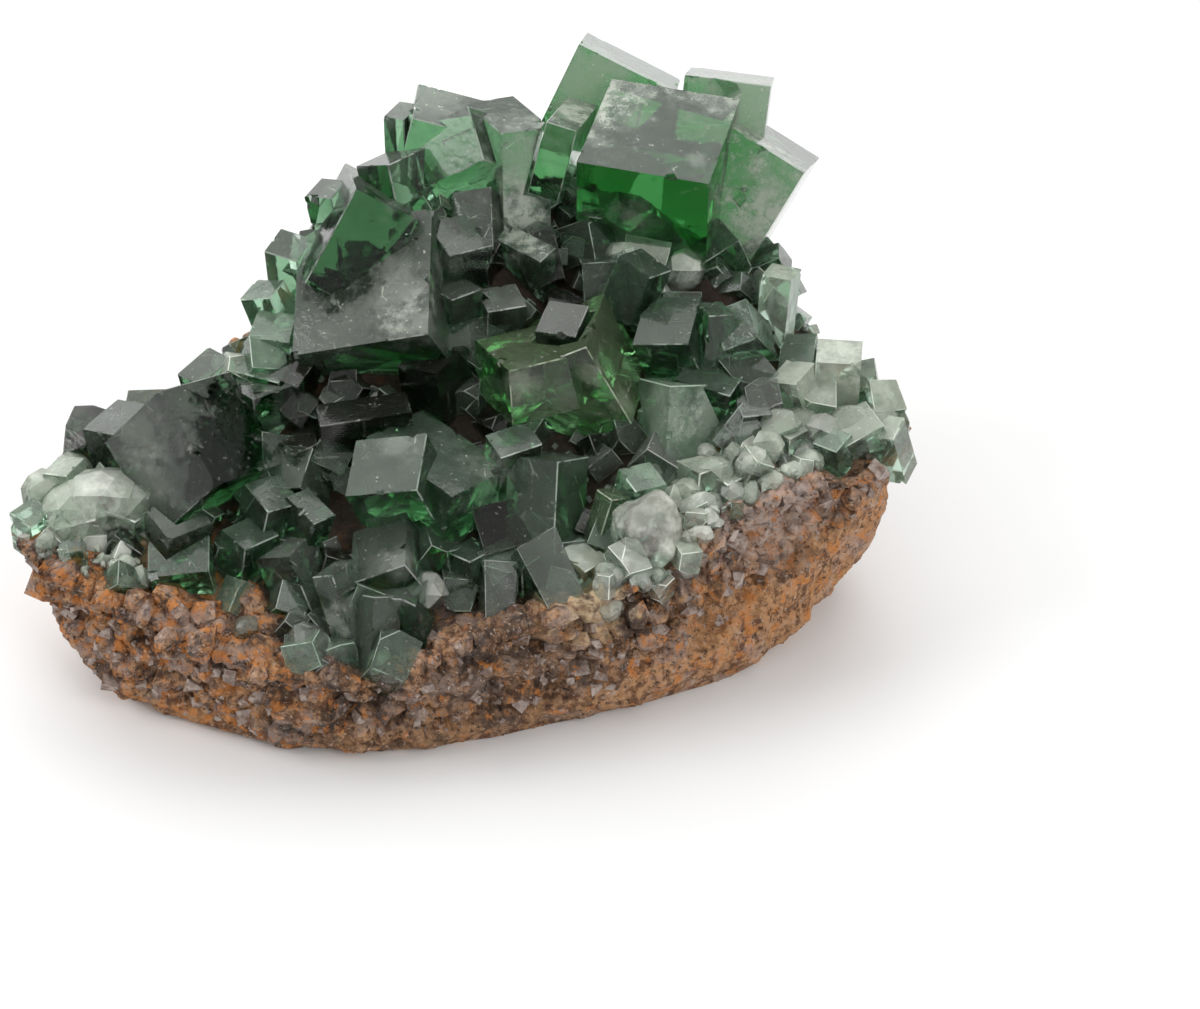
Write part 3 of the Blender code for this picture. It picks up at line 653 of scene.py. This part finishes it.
def worn_crystal(node):
    """A crystal with nicked corners, whole faces and narrow, worn outer edges."""
    mesh = merged_copy(node)
    mesh.normal_update()
    cutters = bmesh.new()
    for x, y, size in BREAKS.get(node, ()):
        place = on_crystal((x, y))
        if place:
            corner = min((vert.co / MM for vert in mesh.verts), key=lambda other: (other - place).length)
            place = corner if (corner - place).length < size else place
            add_cuboid(cutters, place, any_turn(), (size, size * 0.8, size * 0.6), NICK_UNEVEN)
    for edge in sharp_edges(mesh):
        length = edge.calc_length() / MM
        for _ in range(int(RANDOM.poisson(length / NICK_SPACING))):
            along = RANDOM.uniform(0.02, 0.98)
            place = edge.verts[0].co.lerp(edge.verts[1].co, along) / MM
            size = NICK_SIZES[0] + (NICK_SIZES[1] - NICK_SIZES[0]) * RANDOM.random() ** 2
            outward = sum((face.normal for face in edge.link_faces), Vector()).normalized()
            add_cuboid(cutters, place + outward * size * NICK_OUT, any_turn(), (size * 2.0, size, size),
                       NICK_UNEVEN)
    if cutters.verts:
        mesh = cut_away(mesh, cutters)
    bmesh.ops.dissolve_limit(mesh, angle_limit=math.radians(1.0), verts=mesh.verts, edges=mesh.edges)
    wear_edges(mesh, EDGE_WEAR)
    bmesh.ops.triangulate(mesh, faces=mesh.faces)
    return mesh


LUMP_VOXEL = 0.16          # mm
LUMP_FACETS = 30
LUMP_SWELL = 1.05          # makes up for what the flat faces take off
MOST_REACH = 1.3           # of a lump's corners, of its radius


def random_facets(count):
    """Directions of the faces of a lump, with how far each stands in."""
    return [(Vector(RANDOM.normal(size=3)).normalized(), RANDOM.uniform(0.3, 2.0)) for _ in range(count)]


def reach(direction, facets, power=16.0):
    """How far out a blunt, many-faced lump reaches in a direction, about 1."""
    total = sum(max(direction.dot(facet), 0.0) ** power / share for facet, share in facets)
    return max(total, MOST_REACH ** -power) ** (-1.0 / power)


def frosted_lump():
    """The rounded lump on the rim, with blunt faces."""
    mesh = finely_divided(merged_copy("white_lump"), LUMP_VOXEL)
    middle = sum((vert.co for vert in mesh.verts), Vector()) / len(mesh.verts)
    facets = random_facets(LUMP_FACETS)
    for vert in mesh.verts:
        out = vert.co - middle
        point = vert.co / MM
        dent = 0.06 * noise.noise(point * 0.9) + 0.02 * noise.noise(point * 3.0)
        vert.co = middle + out * (LUMP_SWELL * reach(out.normalized(), facets) + dent)
    for face in mesh.faces:
        face.smooth = True
    return mesh


materials = {name: crystal_material(name.title(), look) for name, look in LOOKS.items()}
for node, look in NODE_LOOKS.items():
    material = materials[look]
    if node in PATCHES:
        material = crystal_material(node.title(), LOOKS[look], PATCHES[node])
    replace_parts(shown(node.title(), worn_crystal(node), material), node)
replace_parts(shown("White_Lump", frosted_lump(), materials["frost"]), "white_lump")


# Small crystals that fill the bed and line its rim, and grains in the rock

def depth_in_crystals(point):
    """How deep a point, in mm, is inside the large crystals; negative outside."""
    place, normal, _, distance = CRYSTAL_TREE.find_nearest(point)
    return distance if (point - place).dot(normal) < 0.0 else -distance


CORNERS = [(x, y, z) for x in (-1, 1) for y in (-1, 1) for z in (-1, 1)]
BROKEN_SHARE = 0.3         # of the corners of small crystals
CORNER_SHIFT = 0.16        # of whole corners, as a share of the least half width
SMALL_EDGE_WEAR = 0.05     # mm
SMALL_LUMP_FACETS = 9
SMALL_LUMP_POWER = 24.0    # the higher, the sharper the edges between a lump's faces
BROKEN_REACH = (0.65, 1.25)    # of a broken piece's corners, of its radius
GRAIN_UNEVEN = 0.3         # how far a grain's corners are out of place, of its size
CHUNK_STRETCH = 1.2        # makes up for what a chunk's corners lose


def within_box(point, margin):
    """Whether a point stays a margin in mm inside the whole model's box."""
    return all(low / MM + margin < value < high / MM - margin
               for value, low, high in zip(point, *start_box))


def leaning(normal, lean):
    """A turn that points Z along the normal, leans it by up to lean radians and spins it."""
    around = RANDOM.uniform(0.0, math.tau)
    tilt = Quaternion((math.cos(around), math.sin(around), 0.0), RANDOM.uniform(0.0, lean))
    spin = Quaternion((0.0, 0.0, 1.0), RANDOM.uniform(0.0, math.tau))
    return normal.to_track_quat("Z", "Y") @ tilt @ spin


def add_lump(mesh, centre, turn, sizes):
    """Add a lump with blunt faces, of sizes in mm at a centre in mm."""
    matrix = placed(centre, turn, sizes)
    made = bmesh.ops.create_icosphere(mesh, subdivisions=2, radius=0.5)["verts"]
    facets = random_facets(SMALL_LUMP_FACETS)
    for vert in made:
        vert.co = matrix @ (vert.co * reach(vert.co.normalized(), facets, SMALL_LUMP_POWER))


def add_broken(mesh, centre, turn, sizes):
    """Add a broken, many-sided piece of sizes in mm at a centre in mm."""
    matrix = placed(centre, turn, sizes)
    made = bmesh.ops.create_icosphere(mesh, subdivisions=1, radius=0.5, matrix=matrix)["verts"]
    middle = centre * MM
    for vert in made:
        vert.co = middle + (vert.co - middle) * RANDOM.uniform(*BROKEN_REACH)


def scatter(places, count, sizes, spacing, rise, lean, meshes, add, keep_off):
    """Grow small solids at random places, no two nearer than spacing times their sizes."""
    chosen = []
    names = list(meshes)
    for index in RANDOM.permutation(len(places)):
        point, normal = places[index]
        size = sizes[0] + (sizes[1] - sizes[0]) * RANDOM.random() ** 2
        if not within_box(point + normal * size * rise, 0.9 * size):
            continue
        if depth_in_crystals(point + normal * size * 0.4) > -keep_off * size:
            continue
        if any((point - other).length < spacing * (size + its_size) for other, its_size in chosen):
            continue
        chosen.append((point, size))
        edges = [size * RANDOM.uniform(0.7, 1.2) for _ in range(3)]
        add(meshes[names[int(RANDOM.integers(len(names)))]], point + normal * size * rise,
            leaning(normal, lean), edges)
        if len(chosen) == count:
            break


def add_uneven(mesh, centre, turn, sizes):
    """Add a cuboid with some of its corners broken off."""
    matrix = Matrix.Translation(centre * MM) @ turn.to_matrix().to_4x4()
    half = Vector(sizes) * 0.5 * MM
    points = []
    for corner in CORNERS:
        place = Vector(half[axis] * corner[axis] for axis in range(3))
        if RANDOM.random() < BROKEN_SHARE:
            for axis in range(3):
                nearer = place.copy()
                nearer[axis] -= corner[axis] * half[axis] * RANDOM.uniform(0.2, 1.3)
                points.append(nearer)
        else:
            points.append(place + Vector(RANDOM.uniform(-CORNER_SHIFT, CORNER_SHIFT, 3)) * min(half))
    crystal = bmesh.new()
    bmesh.ops.convex_hull(crystal, input=[crystal.verts.new(matrix @ point) for point in points])
    wear_edges(crystal, SMALL_EDGE_WEAR)
    data = bpy.data.meshes.new("crystal")
    crystal.to_mesh(data)
    crystal.free()
    mesh.from_mesh(data)
    bpy.data.meshes.remove(data)


def add_grain(mesh, centre, turn, sizes):
    add_cuboid(mesh, centre, turn, sizes, GRAIN_UNEVEN)


def add_chunk(mesh, centre, turn, sizes):
    add_broken(mesh, centre, turn, [size * CHUNK_STRETCH for size in sizes])


# Pale lumps and small crystals read from the photograph: pixel, size in mm and look
RIM_LUMPS = (
    (688, 500, 2.2, "pale"), (716, 482, 2.8, "pale"), (735, 500, 1.8, "milky"), (752, 470, 2.0, "milky"),
    (776, 436, 3.0, "pale"), (800, 430, 2.4, "pale"), (822, 440, 2.6, "milky"), (846, 432, 2.8, "pale"),
    (870, 440, 3.2, "pale"), (888, 430, 2.6, "mint"), (802, 458, 1.8, "milky"), (640, 575, 1.8, "pale"),
    (32, 530, 3.4, "pale"), (72, 522, 4.2, "pale"), (104, 512, 4.6, "milky"), (138, 516, 3.2, "pale"),
    (48, 498, 2.6, "pale"), (80, 474, 2.4, "pale"), (98, 442, 1.8, "mint"), (425, 597, 3.0, "milky"),
    (245, 631, 1.4, "smoke"), (306, 650, 2.2, "smoke"), (380, 668, 1.4, "pale"), (610, 612, 1.4, "milky"),
)
RIM_CUBES = (
    (262, 373, 3.0, "mint"), (236, 381, 2.4, "pale"), (280, 330, 2.4, "mint"), (262, 318, 2.0, "pale"),
    (410, 150, 2.4, "green"), (480, 270, 2.6, "dark"), (455, 350, 2.2, "green"), (470, 402, 2.0, "smoke"),
    (350, 400, 2.4, "dark"), (300, 420, 2.2, "dark"), (330, 470, 2.6, "green"), (300, 490, 3.0, "green"),
    (235, 560, 2.4, "green"), (455, 590, 2.0, "green"), (500, 575, 2.4, "mint"), (560, 590, 2.2, "mint"),
    (610, 540, 3.0, "mint"), (600, 470, 2.0, "smoke"), (655, 470, 2.6, "smoke"), (700, 372, 3.0, "green"),
    (640, 300, 2.8, "dark"), (760, 410, 2.6, "smoke"), (800, 372, 3.2, "mint"), (840, 360, 3.4, "mint"),
    (860, 400, 3.0, "mint"), (815, 410, 3.0, "pale"), (880, 412, 2.6, "pale"), (765, 300, 2.4, "pale"),
)

rim = KDTree(len(rock_points))
for index, (point, normal) in enumerate(rock_points):
    if normal.z < 0.35 and bed_depth(point) < 2.0:
        rim.insert(point, index)
rim.balance()


def from_rim(point):
    return rim.find(point)[2]


RIM_CUBE_AXIS = Vector((0.0, -0.4, 1.0))    # that the rim's cubes stand along, before they lean
RIM_CUBE_LEAN = 0.7        # radians
BACK_FRINGE = 5.0          # how far behind the large crystals small ones grow, about, mm

looks = ("green", "grey", "mint", "smoke", "deep", "dark", "pale", "milky")
small = {name: bmesh.new() for name in looks}
for x, y, size, look in RIM_LUMPS:
    place = FINE_ROCK_TREE.ray_cast(EYE, sight_line((x, y)))[0]
    if place and within_box(place, 0.7 * size):
        add_lump(small[look], place + Vector((0.0, 0.0, 0.2 * size)), any_turn(),
                 [size * RANDOM.uniform(0.9, 1.2) for _ in range(3)])
for x, y, size, look in RIM_CUBES:
    place = FINE_ROCK_TREE.ray_cast(EYE, sight_line((x, y)))[0]
    if place and within_box(place, 0.8 * size):
        turn = leaning(RIM_CUBE_AXIS, RIM_CUBE_LEAN)
        add_uneven(small[look], place + Vector((0.0, 0.0, 0.3 * size)), turn,
                   [size * RANDOM.uniform(0.8, 1.1) for _ in range(3)])


def kept(test):
    """The points of the rock, with their normals, that pass a test."""
    return [(point, normal) for point, normal in rock_points if test(point, normal)]


def is_fringe(point):
    """Whether a point on the upper back is near enough to the large crystals."""
    limit = BACK_FRINGE * (0.6 + noise.noise(point * 0.2))
    return point.y > 6.0 and point.z > 12.0 and CRYSTAL_TREE.find_nearest(point)[3] < limit


back = kept(lambda p, n: n.z > -0.1 and is_fringe(p))
inner = kept(lambda p, n: n.z > 0.3 and p.y <= 9.0 and from_rim(p) > 3.0 and bed_depth(p) < 3.4
             and over_border(p) > 0.0)
border = kept(lambda p, n: n.z > -0.2 and from_rim(p) < 4.0 and bed_depth(p) < 4.0 and p.y < 8.0
              and over_border(p) > 0.0)
ledge = kept(lambda p, n: p.y < 8.0 and bed_depth(p) < LEDGE_DEPTH and -60.0 < over_border(p) < 25.0)
side = kept(lambda p, n: n.z < 0.6 and 0.3 < bed_depth(p) < LEDGE_DEPTH and p.z > 2.0)
right = [(p, n) for p, n in border if p.x > 9.0]
left = [(p, n) for p, n in border if p.x < -20.0]
front = [(p, n) for p, n in border if -20.0 <= p.x <= 9.0]

KEEP_OFF = 0.05            # how far small crystals stay off the large ones, of their size
CHUNK_KEEP_OFF = -0.2      # the same of chunks, which may reach into them

# Where small solids grow, how many, their sizes in mm, their spacing and how far out they sit as
# shares of their sizes, their lean in radians, their looks and their form
SPREADS = (
    (right, 16, (1.4, 3.2), 0.45, 0.20, 0.9, ("pale", "milky"), add_uneven),
    (right, 40, (1.4, 3.0), 0.40, 0.15, 0.9, ("pale", "milky"), add_lump),
    (left, 10, (1.4, 2.6), 0.45, 0.20, 0.9, ("pale", "green", "milky"), add_uneven),
    (front, 24, (2.0, 4.4), 0.45, 0.15, 0.9, ("green", "grey", "mint"), add_uneven),
    (ledge, 190, (0.8, 2.8), 0.30, -0.15, 1.2, ("chunks",), add_chunk),
    (back, 50, (1.6, 3.6), 0.42, 0.15, 0.8, ("green", "grey", "mint", "deep"), add_uneven),
    (back, 90, (0.7, 1.8), 0.42, 0.15, 0.8, ("green", "grey", "mint", "pale"), add_uneven),
    (inner, 36, (2.0, 4.0), 0.45, 0.05, 0.9, ("dark", "deep", "green"), add_uneven),
    (inner, 50, (0.8, 2.0), 0.50, 0.10, 0.9, ("dark", "deep", "smoke", "green"), add_uneven),
    (inner, 90, (0.4, 1.0), 0.50, 0.15, 0.9, ("dark", "mint", "smoke", "green"), add_uneven),
    (right + left, 60, (0.8, 1.9), 0.42, 0.15, 0.9, ("pale", "milky"), add_lump),
    (right + left, 160, (0.5, 1.6), 0.42, 0.15, 0.9, ("pale", "milky"), add_broken),
    (border, 70, (0.6, 1.8), 0.50, 0.10, 0.9, ("mint", "smoke", "green", "pale"), add_uneven),
    (side, 300, (0.3, 1.1), 0.50, -0.15, 1.2, ("grains",), add_grain),
)
solids = {**small, "chunks": bmesh.new(), "grains": bmesh.new()}
for places, count, sizes, spacing, rise, lean, names, add in SPREADS:
    scatter(places, count, sizes, spacing, rise, lean, {name: solids[name] for name in names}, add,
            CHUNK_KEEP_OFF if add is add_chunk else KEEP_OFF)
shown("Rock_Chunks", solids["chunks"], rock.data.materials[0])
for name, mesh in small.items():
    shown("Small_Crystals_" + name.title(), mesh, materials[name])


QUARTZ_COLOURS = {"dark": (0.17, 0.12, 0.10), "light": (0.42, 0.345, 0.30), "stain": (0.16, 0.08, 0.04)}


def grain_material():
    """Greyish, faintly pink quartz with brown stains."""
    s = Surface("Quartz")
    tint = s.noise(0.9, 3.0, 0.6, 6.0)
    stain = s.noise(0.5, 3.0, 0.6, 16.0).ramp(0.52, 0.64)
    colour = s.blend(tint.ramp(0.35, 0.65), QUARTZ_COLOURS["dark"], QUARTZ_COLOURS["light"])
    colour = s.blend(stain * 0.8, colour, QUARTZ_COLOURS["stain"])
    return s.finish(s.principled({"Base Color": colour, "Roughness": 0.38,
                                  "Normal": s.bump(s.noise(0.35, 3.0, 0.6, 26.0), 0.12)}))


shown("Quartz_Grains", solids["grains"], grain_material())


# Camera, floor and light, in metres

FLOOR_REACH = 8.0
FLOOR_COLOUR = (0.86, 0.86, 0.86)
WORLD_LIGHT = 0.6
LIT_POINT = Vector((0.0, 0.0, 0.01))

# Name, place, width and radiance of the square lights
LIGHTS = (
    ("Back_Light", (-0.08, 0.42, 0.46), 0.8, 1.6),
    ("Left_Light", (-0.45, -0.05, 0.35), 0.26, 5.5),
    ("Front_Light", (0.42, -0.34, 0.40), 0.35, 3.4),
)


def floor_material():
    s = Surface("Floor")
    return s.finish(s.principled({"Base Color": (*FLOOR_COLOUR, 1.0), "Roughness": 0.8}))


def make_floor():
    mesh = bmesh.new()
    bmesh.ops.create_grid(mesh, x_segments=1, y_segments=1, size=FLOOR_REACH)
    data = bpy.data.meshes.new("Floor")
    mesh.to_mesh(data)
    mesh.free()
    floor = bpy.data.objects.new("Floor", data)
    bpy.context.scene.collection.objects.link(floor)
    data.materials.append(floor_material())


def make_light(name, place, size, radiance):
    """A square soft light that faces the specimen, of a given brightness."""
    light = bpy.data.lights.new(name, "AREA")
    light.shape, light.size = "SQUARE", size
    light.energy = radiance * math.pi * size * size
    obj = bpy.data.objects.new(name, light)
    obj.location = place
    obj.rotation_euler = (LIT_POINT - Vector(place)).to_track_quat("-Z", "Y").to_euler()
    bpy.context.scene.collection.objects.link(obj)


def make_camera():
    data = bpy.data.cameras.new("Camera")
    data.lens = FOCAL_PIXELS / PHOTO_WIDTH * SENSOR
    data.sensor_width, data.clip_start = SENSOR, 0.001
    camera = bpy.data.objects.new("Camera", data)
    turn = Matrix((RIGHT, UP, -FORWARD)).transposed()
    camera.matrix_world = Matrix.Translation(EYE * MM) @ turn.to_4x4()
    bpy.context.scene.collection.objects.link(camera)
    bpy.context.scene.camera = camera


def make_world(brightness):
    world = bpy.data.worlds.new("World")
    world.use_nodes = True
    background = world.node_tree.nodes["Background"]
    background.inputs["Color"].default_value = (1.0, 1.0, 1.0, 1.0)
    background.inputs["Strength"].default_value = brightness
    bpy.context.scene.world = world


make_floor()
make_camera()
make_world(WORLD_LIGHT)
for row in LIGHTS:
    make_light(*row)
bpy.context.scene.view_settings.view_transform = "Standard"
